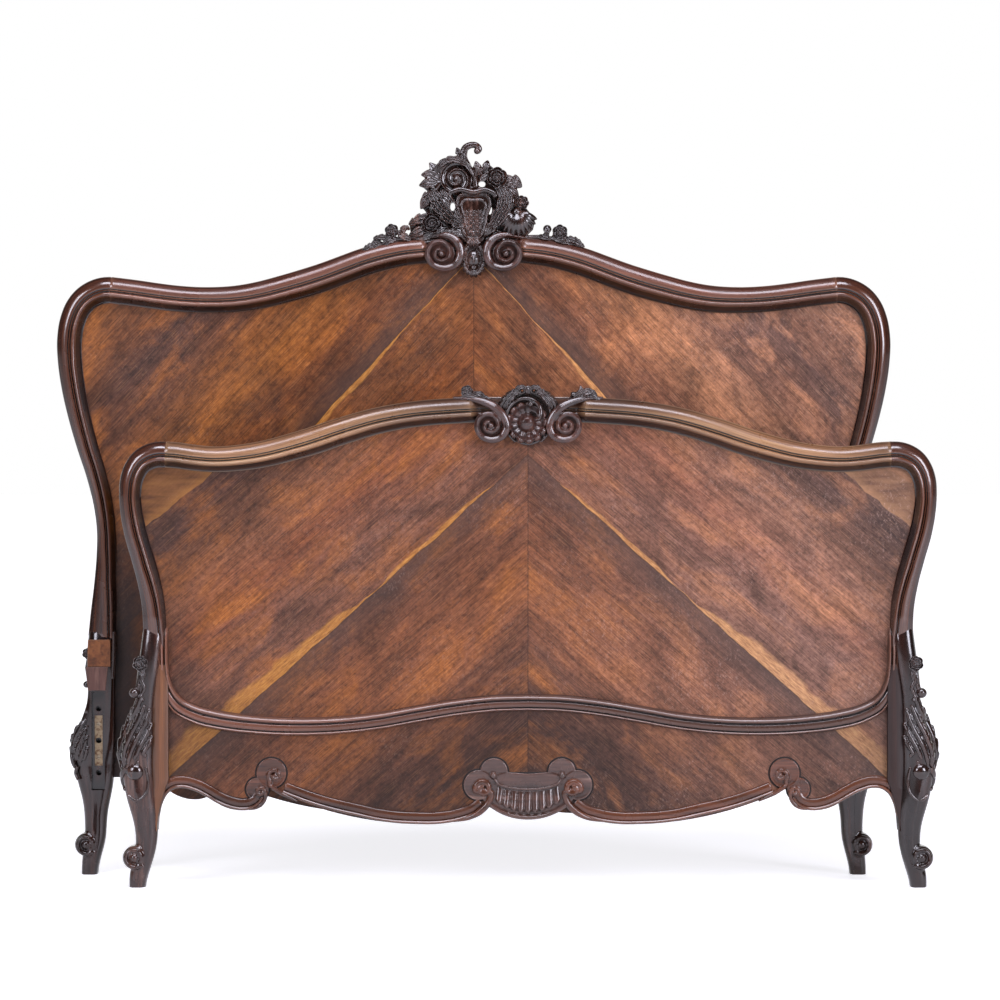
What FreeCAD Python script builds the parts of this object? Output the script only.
import FreeCAD, Part
import math
import os
from collections import namedtuple

# A carved double bed in the rococo manner, taken apart for storage: the footboard stands in
# front, the headboard close behind it and a little to one side. Each end is a frame of two
# posts and a moulded top rail around a veneered panel, with carved crest, apron and knees.
# Lengths are millimetres. X runs across the bed, Y from the foot to the head, Z up.

# Where the two ends stand, panel face to panel face
HEAD_SET_BACK = 216.0
FOOT_SET_ASIDE = 110.0

# Outline of the footboard: distance from the centre line, height above the floor
FOOT_CROWN_X = 100.0
FOOT_CROWN_Z = 982.0
FOOT_DIP_X = 632.0
FOOT_DIP_Z = 882.0
FOOT_CORNER_RADIUS = 92.0
FOOT_CORNER_Z = 892.0
FOOT_SHOULDER_X = 817.0
FOOT_SHOULDER_Z = 785.0
FOOT_WAIST_X = 770.0
FOOT_WAIST_Z = 515.0
FOOT_HIP_X = 788.0
FOOT_HIP_Z = 405.0
FOOT_KNEE_X = 818.0
FOOT_KNEE_Z = 263.0
FOOT_ANKLE_X = 787.0
FOOT_ANKLE_Z = 97.0
FOOT_ANKLE_INSIDE_X = 741.0
FOOT_TOE_X = 798.0
FOOT_TOE_INSIDE_X = 767.0
FOOT_TOE_SCROLL_X = 787.0
FOOT_MOULDING_WIDTH = 52.0
FOOT_WAIST_WIDTH = 46.0
FOOT_CROWN_SHARE = 0.64

# Outline of the headboard, measured the same way
HEAD_CROWN_X = 90.0
HEAD_CROWN_Z = 1312.0
HEAD_DIP_X = 545.0
HEAD_DIP_Z = 1208.0
HEAD_CORNER_RADIUS = 103.0
HEAD_CORNER_Z = 1229.0
HEAD_SHOULDER_X = 857.0
HEAD_SHOULDER_Z = 1097.0
HEAD_WAIST_X = 775.0
HEAD_WAIST_Z = 710.0
HEAD_HIP_X = 794.0
HEAD_HIP_Z = 450.0
HEAD_KNEE_X = 823.0
HEAD_KNEE_Z = 245.0
HEAD_ANKLE_X = 802.0
HEAD_ANKLE_Z = 100.0
HEAD_ANKLE_INSIDE_X = 756.0
HEAD_TOE_X = 808.0
HEAD_TOE_INSIDE_X = 775.0
HEAD_TOE_SCROLL_X = 799.0
HEAD_MOULDING_WIDTH = 54.0
HEAD_WAIST_WIDTH = 38.0
HEAD_CROWN_SHARE = 0.44

# Section of the frame moulding: heights above the panel face, and shares of its width
FRAME_BACK = 28.0
FRAME_RISE = 26.0
OUTER_RISE = 10.0
BAND_SHARE = 0.4
BAND_RISE = 22.0
QUIRK = 2.0
BEAD_SHARE = 0.26
LIP_RISE = 3.0
GROOVE_DEPTH = 8.0
CORNER_SHARE = 0.55

# Panels and what stiffens them from behind
CORE_THICKNESS = 14.0
VENEER_THICKNESS = 1.2
BOTTOM_RAIL_Z = 215.0
BOTTOM_RAIL_HEIGHT = 110.0
MUNTIN_WIDTH = 70.0
FOOT_SEAM_Z = 868.0
FOOT_CORNER_SEAM_Z = 1380.0
FOOT_SEAM_ANGLE = 41.0
HEAD_SEAM_Z = 1272.0
HEAD_SEAM_ANGLE = 47.0

# Joints between rails and posts
TENON_LENGTH = 34.0
TENON_THICKNESS = 12.0
TENON_SHOULDER = 10.0
TENON_HEIGHT = 22.0
STUB_LENGTH = 12.0
STUB_WIDTH = 40.0
STUB_THICKNESS = 6.0
PEG_RADIUS = 4.0
PEG_LENGTH = 36.0
PEG_INSET = 16.0

# Seat for the end of a side rail in each post
RAIL_OUTSIDE_X = 785.0
RAIL_THICKNESS = 27.0
RAIL_BASE_Z = 175.0
RAIL_HEIGHT = 202.0
RAIL_SEAT_DEPTH = 12.0
RAIL_HOLE_RADIUS = 6.0
RAIL_HOLE_DEPTH = 26.0
RAIL_HOLE_SPACING = 132.0
PLATE_WIDTH = 16.0
PLATE_HEIGHT = 103.0
PLATE_THICKNESS = 3.0
SCREW_SPACING = 68.0
SCREW_HEAD_RADIUS = 4.0
SCREW_HEAD_HEIGHT = 2.2
SCREW_RADIUS = 2.0
SCREW_LENGTH = 22.0

# Feet and knees
TOE_SCROLL_Z = 60.0
TOE_SCROLL_RADIUS = 24.0
TOE_BUTTON_RADIUS = 9.0
TOE_BUTTON_RISE = 5.0
LEG_EDGE_ROUND = 5.0
KNEE_LEAF_THICKNESS = 8.0
KNEE_LEAF_CHEEK = 6.0
KNEE_LEAF_TOP = 66.0
KNEE_LEAF_BOTTOM = 62.0
FOOT_KNEE_LEAF_REACH = 74.0
HEAD_KNEE_LEAF_REACH = 34.0
ROSETTE_RADIUS = 16.0
ROSETTE_THICKNESS = 9.0
ROSETTE_Z = 449.0
BALL_RADIUS = 11.0
BALL_Z = 391.0

# Lower edge of both panels, and the bands along it on the footboard
APRON_CENTRE_Z = 137.0
APRON_INNER_CUSP_X = 78.0
APRON_INNER_CUSP_Z = 163.0
APRON_BELLY_X = 204.0
APRON_BELLY_Z = 125.0
APRON_OUTER_CUSP_X = 518.0
APRON_OUTER_CUSP_Z = 197.0
APRON_LOBE_X = 574.0
APRON_LOBE_Z = 153.0
APRON_ARCH_X = 694.0
APRON_ARCH_Z = 199.0
APRON_BAND_WIDTH = 25.0
APRON_BAND_RISE = 8.0

# Serpentine moulding across the footboard panel
CROSS_CENTRE_Z = 371.0
CROSS_LOW_X = 450.0
CROSS_LOW_Z = 325.0
CROSS_END_Z = 368.0
CROSS_WIDTH = 30.0
CROSS_RISE = 14.0

# Scrolls and shell on the footboard apron
SIDE_SCROLL_X = 514.0
SIDE_SCROLL_Z = 231.0
SIDE_SCROLL_RADIUS = 28.0
SIDE_LOBE_X = 540.0
SIDE_LOBE_Z = 196.0
SIDE_LOBE_RADIUS = 19.0
SHELL_EAR_X = 98.0
SHELL_EAR_Z = 205.0
SHELL_EAR_RADIUS = 30.0
SHELL_LOBE_X = 68.0
SHELL_LOBE_Z = 231.0
SHELL_LOBE_RADIUS = 27.0
SHELL_TOP_Z = 227.0
SHELL_GROUND_RISE = 8.0
SHELL_RISE = 18.0
SHELL_FLUTES = 7
SHELL_HALF_WIDTH = 62.0
SHELL_BASE_Z = 150.0
SHELL_CROWN_Z = 195.0
SCROLL_RISE = 18.0

# Scrolls that end the top rail mouldings beside each crest
FOOT_VOLUTE_X = 78.0
FOOT_VOLUTE_Z = 927.0
HEAD_VOLUTE_X = 67.0
HEAD_VOLUTE_Z = 1278.0
VOLUTE_RADIUS = 29.5
VOLUTE_RISE = 34.0

# Crest of the footboard
CARTOUCHE_HALF_WIDTH = 44.0
CARTOUCHE_BASE_Z = 886.0
CARTOUCHE_RISE = 16.0
COCKLE_Z = 935.0
COCKLE_RADIUS = 38.0
COCKLE_RISE = 16.0
COCKLE_KNOB_RADIUS = 11.0
CANOPY_HALF_WIDTH = 46.0
CANOPY_BASE_Z = 978.0
CANOPY_HEIGHT = 28.0
CANOPY_RISE = 26.0
FOOT_BUD_X = 122.0
FOOT_BUD_RADIUS = 14.0
FOOT_BUD_RISE = 8.0
SPRIG_X = 96.0
SPRIG_LENGTH = 46.0
SPRIG_HEIGHT = 16.0
SPRIG_DEPTH = 16.0

# Crest of the headboard
CREST_BACK = 12.0
CREST_RISE = 16.0
CREST_HALF_WIDTH = 94.0
CREST_HEIGHT = 140.0
CREST_TONGUE_WIDTH = 80.0
CREST_TONGUE_DEPTH = 18.0
CREST_TONGUE_THICKNESS = 8.0
SHIELD_TOP_HALF_WIDTH = 35.0
SHIELD_BASE_HALF_WIDTH = 20.0
SHIELD_HEIGHT = 84.0
SHIELD_RISE = 14.0
BIG_SCROLL_X = -46.0
BIG_SCROLL_Z = 1427.0
BIG_SCROLL_RADIUS = 28.0
ROSE_RISE = 14.0
ROSE_X = 46.0
ROSE_Z = 1430.0
ROSE_RADIUS = 22.0
LOW_ROSE_X = -85.0
LOW_ROSE_Z = 1340.0
LOW_ROSE_RADIUS = 18.5
SIDE_BUD_X = 98.0
SIDE_BUD_Z = 1382.0
SIDE_BUD_RADIUS = 15.0
PALMETTE_X = 62.0
PALMETTE_LENGTH = 74.0
PALMETTE_HEIGHT = 42.0
PALMETTE_RISE = 12.0
PLUME_X = -14.0
PLUME_WIDTH = 26.0
PLUME_HEIGHT = 60.0
PLUME_THICKNESS = 18.0
PENDANT_HALF_WIDTH = 27.0
PENDANT_BASE_Z = 1225.0
PENDANT_TOP_Z = 1307.0
PENDANT_RISE = 24.0
SPRAY_START_X = 112.0
SPRAY_END_X = 228.0
SPRAY_HEIGHT = 12.0
SPRAY_DEPTH = 18.0
LEFT_BLOOM_X = -174.0
LEFT_BLOOM_RADIUS = 20.0
RIGHT_BLOOM_X = 178.0
RIGHT_BLOOM_RADIUS = 16.0

V = FreeCAD.Vector
ACROSS = V(1, 0, 0)
BACK = V(0, 1, 0)
UP = V(0, 0, 1)
CORE_BACK = VENEER_THICKNESS + CORE_THICKNESS

End = namedtuple(
    "End",
    "name crown dip corner corner_radius shoulder waist hip knee ankle ankle_inside_x toe_x "
    "toe_inside_x toe_scroll_x width waist_width crown_share volute leaf_reach rail_side",
)

# One stretch of an outline in the XZ plane; the middle point is None on a straight stretch
Run = namedtuple("Run", "start middle end")


def at(x, z, y=0.0):
    return V(x, y, z)


FOOT = End(
    name="foot",
    crown=at(FOOT_CROWN_X, FOOT_CROWN_Z),
    dip=at(FOOT_DIP_X, FOOT_DIP_Z),
    corner=at(FOOT_SHOULDER_X - FOOT_CORNER_RADIUS, FOOT_CORNER_Z),
    corner_radius=FOOT_CORNER_RADIUS,
    shoulder=at(FOOT_SHOULDER_X, FOOT_SHOULDER_Z),
    waist=at(FOOT_WAIST_X, FOOT_WAIST_Z),
    hip=at(FOOT_HIP_X, FOOT_HIP_Z),
    knee=at(FOOT_KNEE_X, FOOT_KNEE_Z),
    ankle=at(FOOT_ANKLE_X, FOOT_ANKLE_Z),
    ankle_inside_x=FOOT_ANKLE_INSIDE_X,
    toe_x=FOOT_TOE_X,
    toe_inside_x=FOOT_TOE_INSIDE_X,
    toe_scroll_x=FOOT_TOE_SCROLL_X,
    width=FOOT_MOULDING_WIDTH,
    waist_width=FOOT_WAIST_WIDTH,
    crown_share=FOOT_CROWN_SHARE,
    volute=at(FOOT_VOLUTE_X, FOOT_VOLUTE_Z),
    leaf_reach=FOOT_KNEE_LEAF_REACH,
    rail_side=1,
)

HEAD = End(
    name="head",
    crown=at(HEAD_CROWN_X, HEAD_CROWN_Z),
    dip=at(HEAD_DIP_X, HEAD_DIP_Z),
    corner=at(HEAD_SHOULDER_X - HEAD_CORNER_RADIUS, HEAD_CORNER_Z),
    corner_radius=HEAD_CORNER_RADIUS,
    shoulder=at(HEAD_SHOULDER_X, HEAD_SHOULDER_Z),
    waist=at(HEAD_WAIST_X, HEAD_WAIST_Z),
    hip=at(HEAD_HIP_X, HEAD_HIP_Z),
    knee=at(HEAD_KNEE_X, HEAD_KNEE_Z),
    ankle=at(HEAD_ANKLE_X, HEAD_ANKLE_Z),
    ankle_inside_x=HEAD_ANKLE_INSIDE_X,
    toe_x=HEAD_TOE_X,
    toe_inside_x=HEAD_TOE_INSIDE_X,
    toe_scroll_x=HEAD_TOE_SCROLL_X,
    width=HEAD_MOULDING_WIDTH,
    waist_width=HEAD_WAIST_WIDTH,
    crown_share=HEAD_CROWN_SHARE,
    volute=at(HEAD_VOLUTE_X, HEAD_VOLUTE_Z),
    leaf_reach=HEAD_KNEE_LEAF_REACH,
    rail_side=-1,
)


# Outlines built from straight and round stretches

def straight(start, end):
    return Run(start, None, end)


def bow(start, end, along):
    """Round stretch that leaves its start in the direction along and reaches the end."""
    aside = UP if along is ACROSS else ACROSS
    gap = end - start
    radius = gap.Length ** 2 / (2 * gap.dot(aside))
    centre = start + aside * radius
    half_way = (start - centre) + (end - centre)
    return Run(start, centre + half_way.normalize() * abs(radius), end)


def turned_round(runs):
    return [Run(run.end, run.middle, run.start) for run in reversed(runs)]


def ogee(start, end, along, share):
    """S-shaped stretch, level or upright at both ends; share is the part of the first bow."""
    aside = UP if along is ACROSS else ACROSS
    if abs((end - start).dot(aside)) < 1e-6:
        return [straight(start, end)]
    bend = start + (end - start) * share
    return [bow(start, bend, along)] + turned_round([bow(end, bend, along)])


def flipped(runs):
    """The same stretches on the other side of the centre line, in the same order."""
    def flip(point):
        return None if point is None else at(-point.x, point.z, point.y)

    return [Run(flip(run.start), flip(run.middle), flip(run.end)) for run in runs]


def shifted(runs, inward):
    """Stretches moved to the right-hand side of their direction of travel."""
    moved = []
    for run in runs:
        chord = run.end - run.start
        side = V(chord.z, 0, -chord.x).normalize()
        if run.middle is None:
            moved.append(Run(run.start + side * inward, None, run.end + side * inward))
            continue
        centre = Part.Arc(run.start, run.middle, run.end).toShape().Curve.Center
        sign = 1 if side.dot(run.middle - centre) > 0 else -1
        points = [p + (p - centre).normalize() * (sign * inward) for p in run]
        moved.append(Run(*points))
    return moved


def wire(runs):
    edges = []
    for run in runs:
        if run.middle is None:
            edges.append(Part.LineSegment(run.start, run.end).toShape())
        else:
            edges.append(Part.Arc(run.start, run.middle, run.end).toShape())
    return Part.Wire(edges)


def polygon(points):
    return [straight(a, b) for a, b in zip(points, points[1:] + points[:1])]


def lobed(points, rise):
    """Closed outline of lobes that bulge to the left of travel between the given points."""
    runs = []
    for start, end in zip(points, points[1:] + points[:1]):
        chord = end - start
        bulge = V(-chord.z, 0, chord.x) * rise
        runs.append(Run(start, (start + end) * 0.5 + bulge, end))
    return runs


def slab(runs, front, back):
    """Solid with a closed outline, between two depths."""
    face = Part.Face(wire(runs))
    face.translate(BACK * front)
    return face.extrude(BACK * (back - front))


def block(left, right, front, back, bottom, top):
    return Part.makeBox(right - left, back - front, top - bottom, V(left, front, bottom))


def disc(x, z, radius, front, back):
    return Part.makeCylinder(radius, back - front, V(x, front, z), BACK)


def other_side(shape):
    return shape.mirror(V(0, 0, 0), ACROSS)


def sweep(runs, profiles):
    """Moulding along a path, its section running from each given profile to the next."""
    pipe = Part.BRepOffsetAPI.MakePipeShell(wire(runs))
    pipe.setBiNormalMode(BACK)
    for profile in profiles:
        pipe.add(profile)
    pipe.build()
    pipe.makeSolid()
    return pipe.shape()


# Frame of one end

def top_edge(end):
    """Right half of the upper edge, from the centre line to the corner."""
    crest = at(0, end.crown.z)
    half = [straight(crest, end.crown)]
    half += ogee(end.crown, end.dip, ACROSS, end.crown_share)
    half += ogee(end.dip, end.corner, ACROSS, CORNER_SHARE)
    return half


def side_edge(end):
    """Right edge from the corner over the shoulder to the waist."""
    below = at(end.shoulder.x, end.corner.z - end.corner_radius)
    runs = [bow(end.corner, below, ACROSS), straight(below, end.shoulder)]
    return runs + ogee(end.shoulder, end.waist, UP, CORNER_SHARE)


def frame_profile(start, inward, width):
    """Section of the moulded frame, from its outer edge inwards, with its front to the viewer."""
    band = width * BAND_SHARE
    bead_start = band + QUIRK
    bead_end = bead_start + width * BEAD_SHARE
    cove_start = bead_end + QUIRK
    bead_foot = BAND_RISE - QUIRK
    cove_top = bead_foot - QUIRK

    def point(distance, rise):
        return start + inward * distance + BACK * -rise

    def arc(a, middle, b):
        return Run(point(*a), point(*middle), point(*b))

    def line(a, b):
        return straight(point(*a), point(*b))

    cove_hollow = (cove_start + (width - cove_start) * 0.3, LIP_RISE + (cove_top - LIP_RISE) * 0.3)
    return wire([
        line((0, -FRAME_BACK), (0, OUTER_RISE)),
        arc((0, OUTER_RISE), (band * 0.33, BAND_RISE - 3), (band, BAND_RISE)),
        line((band, BAND_RISE), (band, bead_foot)),
        line((band, bead_foot), (bead_start, bead_foot)),
        arc((bead_start, bead_foot), ((bead_start + bead_end) / 2, FRAME_RISE), (bead_end, bead_foot)),
        line((bead_end, bead_foot), (bead_end, cove_top)),
        line((bead_end, cove_top), (cove_start, cove_top)),
        arc((cove_start, cove_top), cove_hollow, (width, LIP_RISE)),
        line((width, LIP_RISE), (width, -FRAME_BACK)),
        line((width, -FRAME_BACK), (0, -FRAME_BACK)),
    ])


def inside_x(end):
    """Where the post meets the panel, from the waist down."""
    return end.waist.x - end.waist_width


def post_moulding(end):
    """Moulded upper part of the right post, narrowest at the waist."""
    path = side_edge(end) + ogee(end.waist, end.hip, UP, 0.5)
    return sweep(path, [
        frame_profile(end.corner, -UP, end.width),
        frame_profile(end.waist, -ACROSS, end.waist_width),
        frame_profile(end.hip, -ACROSS, end.hip.x - inside_x(end)),
    ])


def apron_edge():
    """Right half of the lower edge of a panel, from the centre line to the leg."""
    centre = at(0, APRON_CENTRE_Z)
    inner_cusp = at(APRON_INNER_CUSP_X, APRON_INNER_CUSP_Z)
    belly = at(APRON_BELLY_X, APRON_BELLY_Z)
    outer_cusp = at(APRON_OUTER_CUSP_X, APRON_OUTER_CUSP_Z)
    lobe = at(APRON_LOBE_X, APRON_LOBE_Z)
    arch = at(APRON_ARCH_X, APRON_ARCH_Z)
    runs = [bow(centre, inner_cusp, ACROSS)]
    runs += turned_round([bow(belly, inner_cusp, ACROSS)])
    runs += [bow(belly, outer_cusp, ACROSS)]
    runs += turned_round([bow(lobe, outer_cusp, ACROSS)])
    return runs + ogee(lobe, arch, ACROSS, 0.5)


def panel_outline(end):
    """Closed outline of the panel with the edge that sits in the groove of the frame."""
    tuck = end.waist_width - GROOVE_DEPTH
    upper = top_edge(end) + side_edge(end)
    upper = turned_round(flipped(upper)) + upper
    upper = shifted(upper, tuck)
    lower = apron_edge()
    side_x = end.waist.x - tuck
    foot = at(side_x, APRON_ARCH_Z)
    down = [straight(upper[-1].end, foot), straight(foot, lower[-1].end)]
    across = turned_round(lower) + flipped(lower)
    return upper + down + across + turned_round(flipped(down))


def rail_tenon(end, side):
    left = end.corner.x - 1 if side > 0 else -end.corner.x - TENON_LENGTH
    right = left + TENON_LENGTH + 1
    top = end.corner.z - TENON_SHOULDER
    return block(left, right, -TENON_THICKNESS / 2, TENON_THICKNESS / 2, top - TENON_HEIGHT, top)


def crest_seat(end):
    """Space cut from the front of the top rail for the crest and its two scrolls."""
    top = end.crown.z + 1
    space = block(-end.volute.x, end.volute.x, -FRAME_RISE - 1, 0, end.crown.z - end.width - 1, top)
    for side in (-1, 1):
        space = space.fuse(disc(side * end.volute.x, end.volute.z, VOLUTE_RADIUS, -FRAME_RISE - 1, 0))
    return space


def bottom_rail(end):
    """Plain rail behind the panel that ties the two posts together."""
    inside = inside_x(end)
    top = BOTTOM_RAIL_Z + BOTTOM_RAIL_HEIGHT
    rail = block(-inside, inside, CORE_BACK, FRAME_BACK, BOTTOM_RAIL_Z, top)
    middle = (CORE_BACK + FRAME_BACK) / 2
    reach = inside + TENON_LENGTH
    front = middle - TENON_THICKNESS / 4
    back = middle + TENON_THICKNESS / 4
    tongue = block(-reach, reach, front, back, BOTTOM_RAIL_Z + TENON_SHOULDER, top - TENON_SHOULDER)
    return rail.fuse(tongue)


def muntin(end):
    """Upright behind the panel, stubbed into the bottom rail and the top rail."""
    bottom = BOTTOM_RAIL_Z + BOTTOM_RAIL_HEIGHT
    top = end.crown.z - end.width
    half = MUNTIN_WIDTH / 2
    middle = (CORE_BACK + FRAME_BACK) / 2
    upright = block(-half, half, CORE_BACK, FRAME_BACK, bottom, top)
    front = middle - STUB_THICKNESS / 2
    back = middle + STUB_THICKNESS / 2
    stub = block(-STUB_WIDTH / 2, STUB_WIDTH / 2, front, back, bottom - STUB_LENGTH, top + STUB_LENGTH)
    return upright.fuse(stub)


def pegs(end):
    """Wooden pegs driven from the back through each tenon."""
    pins = []
    inside = inside_x(end)
    rail_z = end.corner.z - TENON_SHOULDER - TENON_HEIGHT / 2
    low = BOTTOM_RAIL_Z + TENON_SHOULDER + PEG_INSET
    high = BOTTOM_RAIL_Z + BOTTOM_RAIL_HEIGHT - TENON_SHOULDER - PEG_INSET
    places = [(end.corner.x + PEG_INSET, rail_z), (inside + PEG_INSET, low), (inside + PEG_INSET, high)]
    for side in (-1, 1):
        for x, z in places:
            pins.append(disc(side * x, z, PEG_RADIUS, FRAME_BACK - PEG_LENGTH, FRAME_BACK))
    return pins


def leg_outline(end):
    """Closed outline of the right leg below the hip."""
    inside = inside_x(end)
    stem = at(end.hip.x, end.knee.z + (end.hip.z - end.knee.z) * 0.62)
    toe_top = at(end.toe_x, TOE_SCROLL_Z - TOE_SCROLL_RADIUS)
    ankle_inside = at(end.ankle_inside_x, end.ankle.z + TOE_SCROLL_RADIUS)
    toe_inside = at(end.toe_inside_x, 0)
    fork = at(inside, APRON_ARCH_Z)
    runs = [straight(end.hip, stem)]
    runs += ogee(stem, end.knee, UP, 0.45)
    runs += ogee(end.knee, end.ankle, UP, 0.55)
    runs += [straight(end.ankle, toe_top), straight(toe_top, at(end.toe_x, 0))]
    runs += [straight(at(end.toe_x, 0), toe_inside)]
    runs += ogee(toe_inside, ankle_inside, UP, 0.5)
    runs += turned_round([bow(fork, ankle_inside, ACROSS)])
    top = at(inside, end.hip.z)
    return runs + [straight(fork, top), straight(top, end.hip)]


def leg(end):
    """Right leg with its scroll foot; the edges of the front are eased."""
    body = slab(leg_outline(end), -FRAME_RISE, FRAME_BACK)
    scroll_top = TOE_SCROLL_Z + TOE_SCROLL_RADIUS
    eased = []
    for edge in body.Edges:
        box = edge.BoundBox
        if box.YMax < 1 - FRAME_RISE and box.ZMax < APRON_ARCH_Z + 1 and box.ZMin > scroll_top:
            eased.append(edge)
    if eased:
        body = body.makeFillet(LEG_EDGE_ROUND, eased)
    x = end.toe_scroll_x
    roll = disc(x, TOE_SCROLL_Z, TOE_SCROLL_RADIUS, -FRAME_RISE, FRAME_BACK)
    button = disc(x, TOE_SCROLL_Z, TOE_BUTTON_RADIUS, -FRAME_RISE - TOE_BUTTON_RISE, -FRAME_RISE)
    return body.fuse([roll, button])


def rail_seat(end):
    """Housing, plate bed and holes in the right post for the end of a side rail."""
    face = FRAME_BACK if end.rail_side > 0 else -FRAME_RISE
    into = -end.rail_side
    centre_x = RAIL_OUTSIDE_X - RAIL_THICKNESS / 2
    centre_z = RAIL_BASE_Z + RAIL_HEIGHT / 2

    def sunk(width, height, start, depth):
        near = face + into * start
        far = near + into * depth
        low = min(near, far)
        return block(centre_x - width / 2, centre_x + width / 2, low, low + depth,
                     centre_z - height / 2, centre_z + height / 2)

    def hole(z, radius, start, depth):
        return Part.makeCylinder(radius, depth, at(centre_x, z, face + into * start), BACK * into)

    plate_bed = sunk(PLATE_WIDTH, PLATE_HEIGHT, RAIL_SEAT_DEPTH, PLATE_THICKNESS)
    floor = RAIL_SEAT_DEPTH + PLATE_THICKNESS
    housing = sunk(RAIL_THICKNESS, RAIL_HEIGHT, 0, RAIL_SEAT_DEPTH)
    holes = []
    for offset in (-RAIL_HOLE_SPACING / 2, RAIL_HOLE_SPACING / 2):
        holes.append(hole(centre_z + offset, RAIL_HOLE_RADIUS, RAIL_SEAT_DEPTH, RAIL_HOLE_DEPTH))
    bolt_hole = hole(centre_z, RAIL_HOLE_RADIUS, RAIL_SEAT_DEPTH, RAIL_HOLE_DEPTH)
    screws = []
    for offset in (-SCREW_SPACING / 2, SCREW_SPACING / 2):
        z = centre_z + offset
        top = at(centre_x, z, face + into * RAIL_SEAT_DEPTH)
        head = Part.makeCone(SCREW_HEAD_RADIUS, SCREW_RADIUS, SCREW_HEAD_HEIGHT, top, BACK * into)
        shank = hole(z, SCREW_RADIUS, RAIL_SEAT_DEPTH + SCREW_HEAD_HEIGHT, SCREW_LENGTH - SCREW_HEAD_HEIGHT)
        screws.append(head.fuse(shank).removeSplitter())
    plate = plate_bed.cut([bolt_hole] + screws)
    space = housing.fuse([plate_bed, bolt_hole] + holes).fuse(screws)
    return plate, screws, space


def knee_leaf(end):
    """Carved leaf that wraps the outside of the right knee; the post is cut out of it later."""
    reach_x = end.knee.x + KNEE_LEAF_THICKNESS - end.leaf_reach
    top = at(end.hip.x, end.knee.z + KNEE_LEAF_TOP)
    middle = at(end.knee.x + KNEE_LEAF_THICKNESS, end.knee.z)
    bottom = at(end.ankle.x + KNEE_LEAF_THICKNESS, end.knee.z - KNEE_LEAF_BOTTOM - 36)
    inside = at(reach_x, end.knee.z)
    runs = turned_round([bow(middle, top, UP)]) + [bow(middle, bottom, UP)]
    runs += [Run(bottom, (bottom + inside) * 0.5 + V(8, 0, -10), inside)]
    runs += [Run(inside, (inside + top) * 0.5 + V(-4, 0, 8), top)]
    front = -FRAME_RISE - (KNEE_LEAF_CHEEK if end.rail_side > 0 else 0)
    return slab(runs, front, FRAME_BACK)


def knee_flowers(end):
    """Rosette and ball on the outside of the right post above the knee."""
    depth = ROSETTE_THICKNESS + end.hip.x - end.waist.x
    rosette = Part.makeCylinder(ROSETTE_RADIUS, depth, at(end.waist.x, ROSETTE_Z), ACROSS)
    ball = Part.makeSphere(BALL_RADIUS, at(end.hip.x, BALL_Z))
    return [rosette, ball]


# Veneer

def veneer_leaves(end, sheet, side):
    """Leaves on one half of the panel, cut along diagonal seams that rise to the centre."""
    low, high, wide = -end.crown.z, 2 * end.crown.z, 2 * end.shoulder.x
    if end.name == "foot":
        slope = math.tan(math.radians(FOOT_SEAM_ANGLE))
        seams = [FOOT_SEAM_Z, FOOT_CORNER_SEAM_Z]
    else:
        slope = math.tan(math.radians(HEAD_SEAM_ANGLE))
        seams = [HEAD_SEAM_Z]
    heights = [None] + seams + [None]
    leaves = []
    for under, over in zip(heights, heights[1:]):
        near_low = low - wide * slope if under is None else under
        near_high = high + wide * slope if over is None else over
        corners = [
            at(0, near_low),
            at(0, near_high),
            at(wide, near_high - wide * slope),
            at(wide, near_low - wide * slope),
        ]
        piece = slab(polygon(corners), -1, VENEER_THICKNESS + 1)
        if side < 0:
            piece = other_side(piece)
        leaves.append(sheet.common(piece).Solids[0])
    return leaves


# Carving

def scroll(x, z, radius, front, back, hand):
    """Volute as a stack of discs, each one off centre inside the one before."""
    levels = [(radius, 0.0), (radius * 0.7, 0.45), (radius * 0.42, 0.8), (radius * 0.2, 1.0)]
    depth = back - front
    shape = None
    angle = 0.0
    centre = at(x, z)
    last = radius
    for size, level in levels:
        centre = centre + at(hand * math.cos(angle), math.sin(angle)) * (last - size) * 0.7
        last = size
        angle += math.pi / 2
        top = back - depth * (0.55 + 0.45 * level)
        step = disc(centre.x, centre.z, size, top, back)
        shape = step if shape is None else shape.fuse(step)
    return shape.removeSplitter()


def bloom(x, z, radius, front, back):
    """Rose as a ring of petals around a domed heart."""
    depth = back - front
    shape = disc(x, z, radius * 0.72, back - depth * 0.7, back)
    for index in range(6):
        angle = index * math.pi / 3
        petal_x = x + math.cos(angle) * radius * 0.62
        petal_z = z + math.sin(angle) * radius * 0.62
        shape = shape.fuse(disc(petal_x, petal_z, radius * 0.38, back - depth * 0.55, back))
    return shape.fuse(disc(x, z, radius * 0.35, front, back)).removeSplitter()


def apron_band(first, last, shell):
    """Raised band along part of the right half of the footboard's lower edge."""
    part = apron_edge()[first:last]
    upper = shifted(turned_round(part), APRON_BAND_WIDTH)
    lower = part
    runs = lower + [straight(lower[-1].end, upper[0].start)] + upper
    runs += [straight(upper[-1].end, lower[0].start)]
    return slab(runs, -APRON_BAND_RISE, 0).cut(shell)


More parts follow.
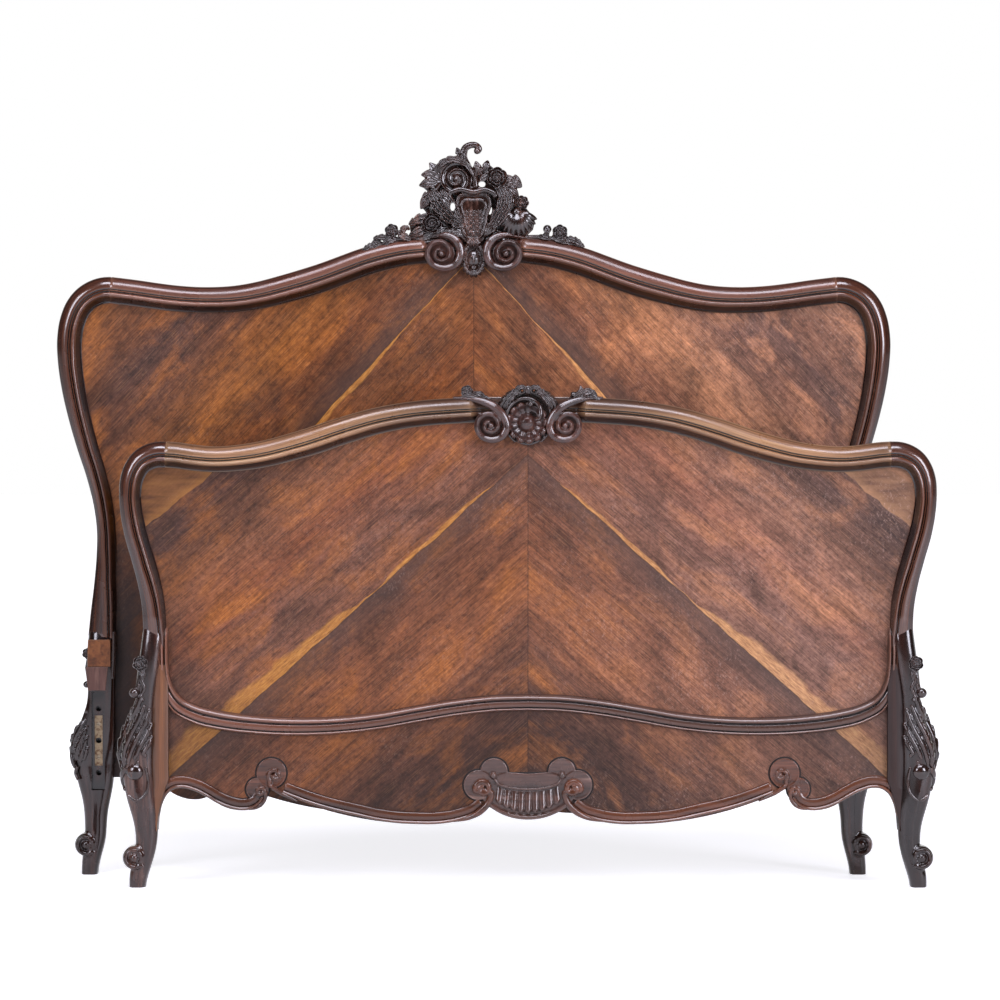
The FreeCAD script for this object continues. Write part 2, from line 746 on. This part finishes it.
def cross_moulding():
    """Serpentine moulding from post to post across the footboard panel."""
    half = ogee(at(0, CROSS_CENTRE_Z), at(CROSS_LOW_X, CROSS_LOW_Z), ACROSS, 0.55)
    end = at(inside_x(FOOT) + 12, CROSS_END_Z)
    half.append(bow(at(CROSS_LOW_X, CROSS_LOW_Z), end, ACROSS))
    runs = turned_round(flipped(half)) + half
    start = runs[0].start
    inward = shifted(runs[:1], 1.0)[0].start - start

    def point(offset, rise):
        return start + inward * offset + BACK * -rise

    side = CROSS_WIDTH / 2
    shelf = CROSS_RISE * 0.45
    crown = side * 0.6
    profile = wire([
        straight(point(-side, 0), point(-side, shelf)),
        straight(point(-side, shelf), point(-crown, shelf)),
        Run(point(-crown, shelf), point(0, CROSS_RISE), point(crown, shelf)),
        straight(point(crown, shelf), point(side, shelf)),
        straight(point(side, shelf), point(side, 0)),
        straight(point(side, 0), point(-side, 0)),
    ])
    return sweep(runs, [profile])


def apron_shell():
    """Carved centre of the apron: lobed ground, fluted shell and a scroll on either hand."""
    half = apron_edge()[:1]
    cusp = half[0].end
    outline = turned_round(half) + flipped(half)
    outline += [straight(flipped(half)[0].end, at(-SHELL_EAR_X, cusp.z + 20))]
    outline += [straight(at(-SHELL_EAR_X, cusp.z + 20), at(-SHELL_LOBE_X, SHELL_TOP_Z))]
    outline += [straight(at(-SHELL_LOBE_X, SHELL_TOP_Z), at(SHELL_LOBE_X, SHELL_TOP_Z))]
    outline += [straight(at(SHELL_LOBE_X, SHELL_TOP_Z), at(SHELL_EAR_X, cusp.z + 20))]
    outline += [straight(at(SHELL_EAR_X, cusp.z + 20), cusp)]
    ground = slab(outline, -SHELL_GROUND_RISE, 0)
    for side in (-1, 1):
        ear = disc(side * SHELL_EAR_X, SHELL_EAR_Z, SHELL_EAR_RADIUS, -SHELL_GROUND_RISE, 0)
        lobe = disc(side * SHELL_LOBE_X, SHELL_LOBE_Z, SHELL_LOBE_RADIUS, -SHELL_GROUND_RISE, 0)
        ground = ground.fuse([ear, lobe])
    ground = ground.removeSplitter()
    pitch = 2 * SHELL_HALF_WIDTH / SHELL_FLUTES
    fan = [at(-SHELL_HALF_WIDTH, SHELL_CROWN_Z), at(SHELL_HALF_WIDTH, SHELL_CROWN_Z)]
    lens = slab([Run(fan[0], at(0, SHELL_CROWN_Z + 6), fan[1]), Run(fan[1], at(0, SHELL_BASE_Z), fan[0])],
                -SHELL_RISE, -SHELL_GROUND_RISE)
    grooves = []
    for index in range(SHELL_FLUTES):
        x = (index + 0.5) * pitch - SHELL_HALF_WIDTH
        grooves.append(Part.makeCylinder(pitch * 0.42, 2 * SHELL_TOP_Z, at(x, 0, -SHELL_RISE - 1), UP))
    return ground, lens.cut(grooves)


def cartouche():
    """Ground of the footboard crest, pointed at its foot."""
    w = CARTOUCHE_HALF_WIDTH
    points = [
        at(0, CARTOUCHE_BASE_Z),
        at(-w * 0.75, COCKLE_Z - 28),
        at(-w, COCKLE_Z + 6),
        at(-w * 0.8, CANOPY_BASE_Z),
        at(w * 0.8, CANOPY_BASE_Z),
        at(w, COCKLE_Z + 6),
        at(w * 0.75, COCKLE_Z - 28),
    ]
    return slab(lobed(points, 0.12), -CARTOUCHE_RISE, 0)


def cockle():
    """Round shell with radial flutes and a knob at its heart."""
    front = -CARTOUCHE_RISE - COCKLE_RISE
    shell = Part.makeCone(COCKLE_RADIUS, COCKLE_RADIUS * 0.55, COCKLE_RISE * 0.7,
                          at(0, COCKLE_Z, -CARTOUCHE_RISE), BACK * -1)
    for index in range(12):
        angle = index * math.pi / 6 + math.pi / 12
        x = math.cos(angle) * COCKLE_RADIUS
        z = COCKLE_Z + math.sin(angle) * COCKLE_RADIUS
        shell = shell.cut(disc(x, z, COCKLE_RADIUS * 0.12, front - 1, -CARTOUCHE_RISE + 1))
    knob = disc(0, COCKLE_Z, COCKLE_KNOB_RADIUS, front, -CARTOUCHE_RISE)
    return shell.fuse(knob).removeSplitter()


def canopy(ground):
    """Bow of leaves that roofs the footboard crest."""
    w = CANOPY_HALF_WIDTH
    points = [
        at(-w, CANOPY_BASE_Z - 6),
        at(-w * 0.62, CANOPY_BASE_Z + CANOPY_HEIGHT * 0.64),
        at(0, CANOPY_BASE_Z + CANOPY_HEIGHT - 4),
        at(w * 0.62, CANOPY_BASE_Z + CANOPY_HEIGHT * 0.64),
        at(w, CANOPY_BASE_Z - 6),
    ]
    leaf = slab(lobed(points, 0.16), -CANOPY_RISE, 0)
    return leaf.cut(ground)


def crest_ground():
    """Lobed board that carries the headboard carving, with a tongue into the top rail."""
    w = CREST_HALF_WIDTH
    base = HEAD_CROWN_Z
    h = CREST_HEIGHT
    points = [
        at(-w, base),
        at(-w, base + h * 0.32),
        at(-w * 0.96, base + h * 0.62),
        at(-w * 0.86, base + h * 0.88),
        at(-w * 0.62, base + h),
        at(-w * 0.12, base + h),
        at(w * 0.24, base + h * 0.97),
        at(w * 0.72, base + h * 0.92),
        at(w * 0.84, base + h * 0.66),
        at(w, base + h * 0.4),
        at(w, base),
    ]
    runs = lobed(points, 0.22)
    runs[-1] = straight(points[-1], points[0])
    board = slab(runs, -CREST_RISE, CREST_BACK)
    half = CREST_TONGUE_WIDTH / 2
    back = CREST_BACK - 2
    tongue = block(-half, half, back - CREST_TONGUE_THICKNESS, back, base - CREST_TONGUE_DEPTH, base)
    return board.fuse(tongue)


def shield():
    """Shield with a rounded head and foot, later latticed."""
    base = HEAD_CROWN_Z + 2
    top = base + SHIELD_HEIGHT
    a = SHIELD_TOP_HALF_WIDTH
    b = SHIELD_BASE_HALF_WIDTH
    runs = [
        Run(at(-a, top - 8), at(0, top), at(a, top - 8)),
        Run(at(a, top - 8), at((a + b) / 2 - 5, (top + base) / 2), at(b, base + 8)),
        Run(at(b, base + 8), at(0, base), at(-b, base + 8)),
        Run(at(-b, base + 8), at(-(a + b) / 2 + 5, (top + base) / 2), at(-a, top - 8)),
    ]
    return slab(runs, -CREST_RISE - SHIELD_RISE, -CREST_RISE)


def palmette():
    """Fan of leaves at the lower right of the headboard crest."""
    x = PALMETTE_X
    base = HEAD_CROWN_Z + 2
    points = [
        at(x, base),
        at(x + PALMETTE_LENGTH * 0.12, base + PALMETTE_HEIGHT),
        at(x + PALMETTE_LENGTH * 0.55, base + PALMETTE_HEIGHT * 0.9),
        at(x + PALMETTE_LENGTH * 0.85, base + PALMETTE_HEIGHT * 0.65),
        at(x + PALMETTE_LENGTH, base + PALMETTE_HEIGHT * 0.28),
        at(x + PALMETTE_LENGTH * 0.6, base),
    ]
    return slab(lobed(points, 0.16), -CREST_RISE - PALMETTE_RISE, -CREST_RISE)


def plume(ground):
    """Curled feather that tops the headboard crest."""
    base = HEAD_CROWN_Z + CREST_HEIGHT - 4
    left = PLUME_X - PLUME_WIDTH / 2
    right = PLUME_X + PLUME_WIDTH / 2
    top = base + PLUME_HEIGHT
    runs = [
        Run(at(left, base), at(left - 2, base + PLUME_HEIGHT * 0.55), at(PLUME_X + 8, top)),
        Run(at(PLUME_X + 8, top), at(right + 6, top - 8), at(right + 7, base + PLUME_HEIGHT * 0.6)),
        Run(at(right + 7, base + PLUME_HEIGHT * 0.6), at(right - 3, base + PLUME_HEIGHT * 0.62),
            at(right - 7, base + PLUME_HEIGHT * 0.45)),
        straight(at(right - 7, base + PLUME_HEIGHT * 0.45), at(right, base)),
        straight(at(right, base), at(left, base)),
    ]
    return slab(runs, -PLUME_THICKNESS / 2, PLUME_THICKNESS / 2).cut(ground)


def pendant():
    """Leafy boss that hangs from the headboard crest between the two scrolls."""
    w = PENDANT_HALF_WIDTH
    middle = (PENDANT_BASE_Z + PENDANT_TOP_Z) / 2
    points = [
        at(0, PENDANT_BASE_Z),
        at(-w * 0.8, middle - 14),
        at(-w * 0.9, middle + 16),
        at(0, PENDANT_TOP_Z - 6),
        at(w * 0.9, middle + 16),
        at(w * 0.8, middle - 14),
    ]
    boss = slab(lobed(points, 0.14), -PENDANT_RISE * 0.7, 0)
    return boss.fuse(disc(0, middle, w * 0.6, -PENDANT_RISE, 0)).removeSplitter()


def column(left, right):
    """Upright space over the whole height and depth of the headboard."""
    return block(left, right, -HEAD_SET_BACK, HEAD_SET_BACK, 0, 2 * HEAD_CROWN_Z)


def spray(rail, side, flower_x, flower_radius):
    """Flower spray that lies along the headboard's top edge beside the crest."""
    half = top_edge(HEAD)
    upper = shifted(half, -SPRAY_HEIGHT)
    outline = upper + [straight(upper[-1].end, half[-1].end)] + turned_round(half)
    outline += [straight(half[0].start, upper[0].start)]
    strip = slab(outline, -SPRAY_DEPTH, 0)
    strip = strip.common(column(SPRAY_START_X, SPRAY_END_X))
    if side < 0:
        strip = other_side(strip)
    probe = strip.common(column(flower_x - 1, flower_x + 1)).BoundBox
    flower = bloom(flower_x, probe.ZMax + flower_radius * 0.4, flower_radius, -SPRAY_DEPTH - 8, 0)
    return strip.fuse(flower).cut(rail)


def sprig(rail, side):
    """Leaf sprig on the footboard's top edge."""
    base = FOOT_CROWN_Z - 8
    start = side * SPRIG_X
    tip = side * (SPRIG_X + SPRIG_LENGTH)
    middle = (start + tip) / 2
    runs = [
        Run(at(start, base), at(middle, base + SPRIG_HEIGHT + 8), at(tip, base)),
        straight(at(tip, base), at(start, base)),
    ]
    return slab(runs, -SPRIG_DEPTH, 0).cut(rail)


# Putting one end together

def build_end(end):
    """All the pieces that the two ends have in common, as a table of names and solids."""
    pieces = {}
    outline = panel_outline(end)
    blank = slab(outline, 0, CORE_BACK)
    pieces["panel_core"] = [slab(outline, VENEER_THICKNESS, CORE_BACK)]
    sheet = slab(outline, 0, VENEER_THICKNESS)
    pieces["veneer_left"] = veneer_leaves(end, sheet, -1)
    pieces["veneer_right"] = veneer_leaves(end, sheet, 1)

    stretcher = bottom_rail(end)
    upright = muntin(end)
    pins = pegs(end)
    right = top_edge(end)
    path = turned_round(flipped(right)) + right
    rail = sweep(path, [frame_profile(path[0].start, -UP, end.width)])
    tenons = [rail_tenon(end, -1), rail_tenon(end, 1)]
    rail = rail.fuse(tenons).cut([blank, crest_seat(end), upright] + pins)

    plate, screws, seat = rail_seat(end)
    post = post_moulding(end).fuse(leg(end)).removeSplitter()
    right_post = post.cut([blank, tenons[1], stretcher, seat] + pins)
    left_post = other_side(post).cut([blank, tenons[0], stretcher, other_side(seat)] + pins)
    pieces["right_post"] = right_post.Solids
    pieces["left_post"] = left_post.Solids
    pieces["top_rail"] = rail.Solids
    pieces["bottom_rail"] = stretcher.cut([upright] + pins).Solids
    pieces["muntin"] = upright.Solids
    pieces["tenon_pegs"] = pins
    pieces["right_rail_plate"] = plate.Solids
    pieces["left_rail_plate"] = other_side(plate).Solids
    pieces["plate_screws"] = screws + [other_side(screw) for screw in screws]

    leaf = knee_leaf(end).cut(post)
    flowers = [flower.cut(post) for flower in knee_flowers(end)]
    pieces["right_knee_leaf"] = leaf.Solids
    pieces["left_knee_leaf"] = other_side(leaf).Solids
    pieces["right_knee_flowers"] = [flower.Solids[0] for flower in flowers]
    pieces["left_knee_flowers"] = [other_side(flower).Solids[0] for flower in flowers]
    for side, word in ((-1, "left"), (1, "right")):
        volute = scroll(side * end.volute.x, end.volute.z, VOLUTE_RADIUS, -VOLUTE_RISE, 0, side)
        pieces[word + "_volute"] = volute.Solids
    return pieces


def dress_footboard(pieces):
    rail = pieces["top_rail"][0]
    ground, shell = apron_shell()
    moulding = cross_moulding().cut(pieces["left_post"] + pieces["right_post"])
    pieces["cross_moulding"] = moulding.Solids
    pieces["apron_ground"] = ground.Solids
    pieces["apron_shell"] = shell.Solids
    for side, word in ((-1, "left"), (1, "right")):
        plate = disc(SIDE_SCROLL_X, SIDE_SCROLL_Z, SIDE_SCROLL_RADIUS, -SHELL_GROUND_RISE, 0)
        plate = plate.fuse(disc(SIDE_LOBE_X, SIDE_LOBE_Z, SIDE_LOBE_RADIUS, -SHELL_GROUND_RISE, 0))
        eye = scroll(SIDE_SCROLL_X, SIDE_SCROLL_Z, SIDE_SCROLL_RADIUS * 0.8, -SCROLL_RISE,
                     -SHELL_GROUND_RISE, 1)
        scrolls = plate.fuse(eye).removeSplitter()
        inner_band = apron_band(1, 3, ground.fuse(scrolls))
        outer_band = apron_band(3, 6, scrolls).cut(pieces["right_post"])
        made = {"side_scrolls": scrolls, "apron_band": inner_band, "lobe_band": outer_band}
        for name, shape in made.items():
            shape = other_side(shape) if side < 0 else shape
            pieces[word + "_" + name] = shape.Solids
    eye = scroll(SHELL_EAR_X, SHELL_EAR_Z, SHELL_EAR_RADIUS * 0.7, -SCROLL_RISE, -SHELL_GROUND_RISE, -1)
    eye = eye.cut(shell)
    pieces["shell_volutes"] = eye.Solids + other_side(eye).Solids
    volutes = pieces["left_volute"] + pieces["right_volute"]
    card = cartouche().cut(volutes)
    roof = canopy(card).cut(volutes + [rail])
    pieces["cartouche"] = card.Solids
    pieces["canopy"] = roof.Solids
    pieces["cockle"] = cockle().cut(roof).Solids
    bud_z = FOOT_CROWN_Z + FOOT_BUD_RADIUS * 0.75
    bud = bloom(-FOOT_BUD_X, bud_z, FOOT_BUD_RADIUS, -FOOT_BUD_RISE - SPRIG_DEPTH, 0).fuse(sprig(rail, -1))
    pieces["left_sprig"] = bud.cut([rail, roof] + volutes).Solids
    pieces["right_sprig"] = sprig(rail, 1).cut([roof] + volutes).Solids


def dress_headboard(pieces):
    ground = crest_ground()
    rail = pieces["top_rail"][0].cut(ground)
    pieces["top_rail"] = rail.Solids
    crest = shield()
    big = scroll(BIG_SCROLL_X, BIG_SCROLL_Z, BIG_SCROLL_RADIUS, -VOLUTE_RISE, -CREST_RISE, 1).cut(crest)
    front = -CREST_RISE - ROSE_RISE
    roses = [
        bloom(ROSE_X, ROSE_Z, ROSE_RADIUS, front, -CREST_RISE).cut(crest),
        bloom(LOW_ROSE_X, LOW_ROSE_Z, LOW_ROSE_RADIUS, front, -CREST_RISE),
        bloom(SIDE_BUD_X, SIDE_BUD_Z, SIDE_BUD_RADIUS, front, -CREST_RISE),
    ]
    volutes = pieces["left_volute"] + pieces["right_volute"]
    fan = palmette().cut([crest, rail] + roses)
    pieces["crest_ground"] = ground.Solids
    pieces["crest_shield"] = crest.Solids
    pieces["crest_scroll"] = big.Solids
    pieces["crest_roses"] = [rose.Solids[0] for rose in roses]
    pieces["crest_palmette"] = fan.Solids
    pieces["crest_plume"] = plume(ground).Solids
    pieces["crest_pendant"] = pendant().cut(volutes).Solids
    left = spray(rail, -1, LEFT_BLOOM_X, LEFT_BLOOM_RADIUS)
    right = spray(rail, 1, RIGHT_BLOOM_X, RIGHT_BLOOM_RADIUS)
    pieces["left_spray"] = left.cut([ground] + volutes).Solids
    pieces["right_spray"] = right.cut([ground, fan] + volutes).Solids


def build_bed():
    foot = build_end(FOOT)
    dress_footboard(foot)
    head = build_end(HEAD)
    dress_headboard(head)
    nodes = {}
    for end, pieces, place in ((FOOT, foot, V(FOOT_SET_ASIDE, 0, 0)), (HEAD, head, V(0, HEAD_SET_BACK, 0))):
        for name, solids in pieces.items():
            shape = solids[0] if len(solids) == 1 else Part.makeCompound(solids)
            shape = shape.copy()
            shape.translate(place)
            nodes[end.name + "_" + name] = shape
    box = Part.makeCompound(list(nodes.values())).optimalBoundingBox()
    for shape in nodes.values():
        shape.translate(V(-box.Center.x, -box.Center.y, -box.ZMin))
    return nodes


os.makedirs("parts", exist_ok=True)
for node_name, node_shape in build_bed().items():
    node_shape.exportStep("parts/" + node_name + ".step")
    print(node_name, len(node_shape.Solids), node_shape.isValid(), round(node_shape.Volume))
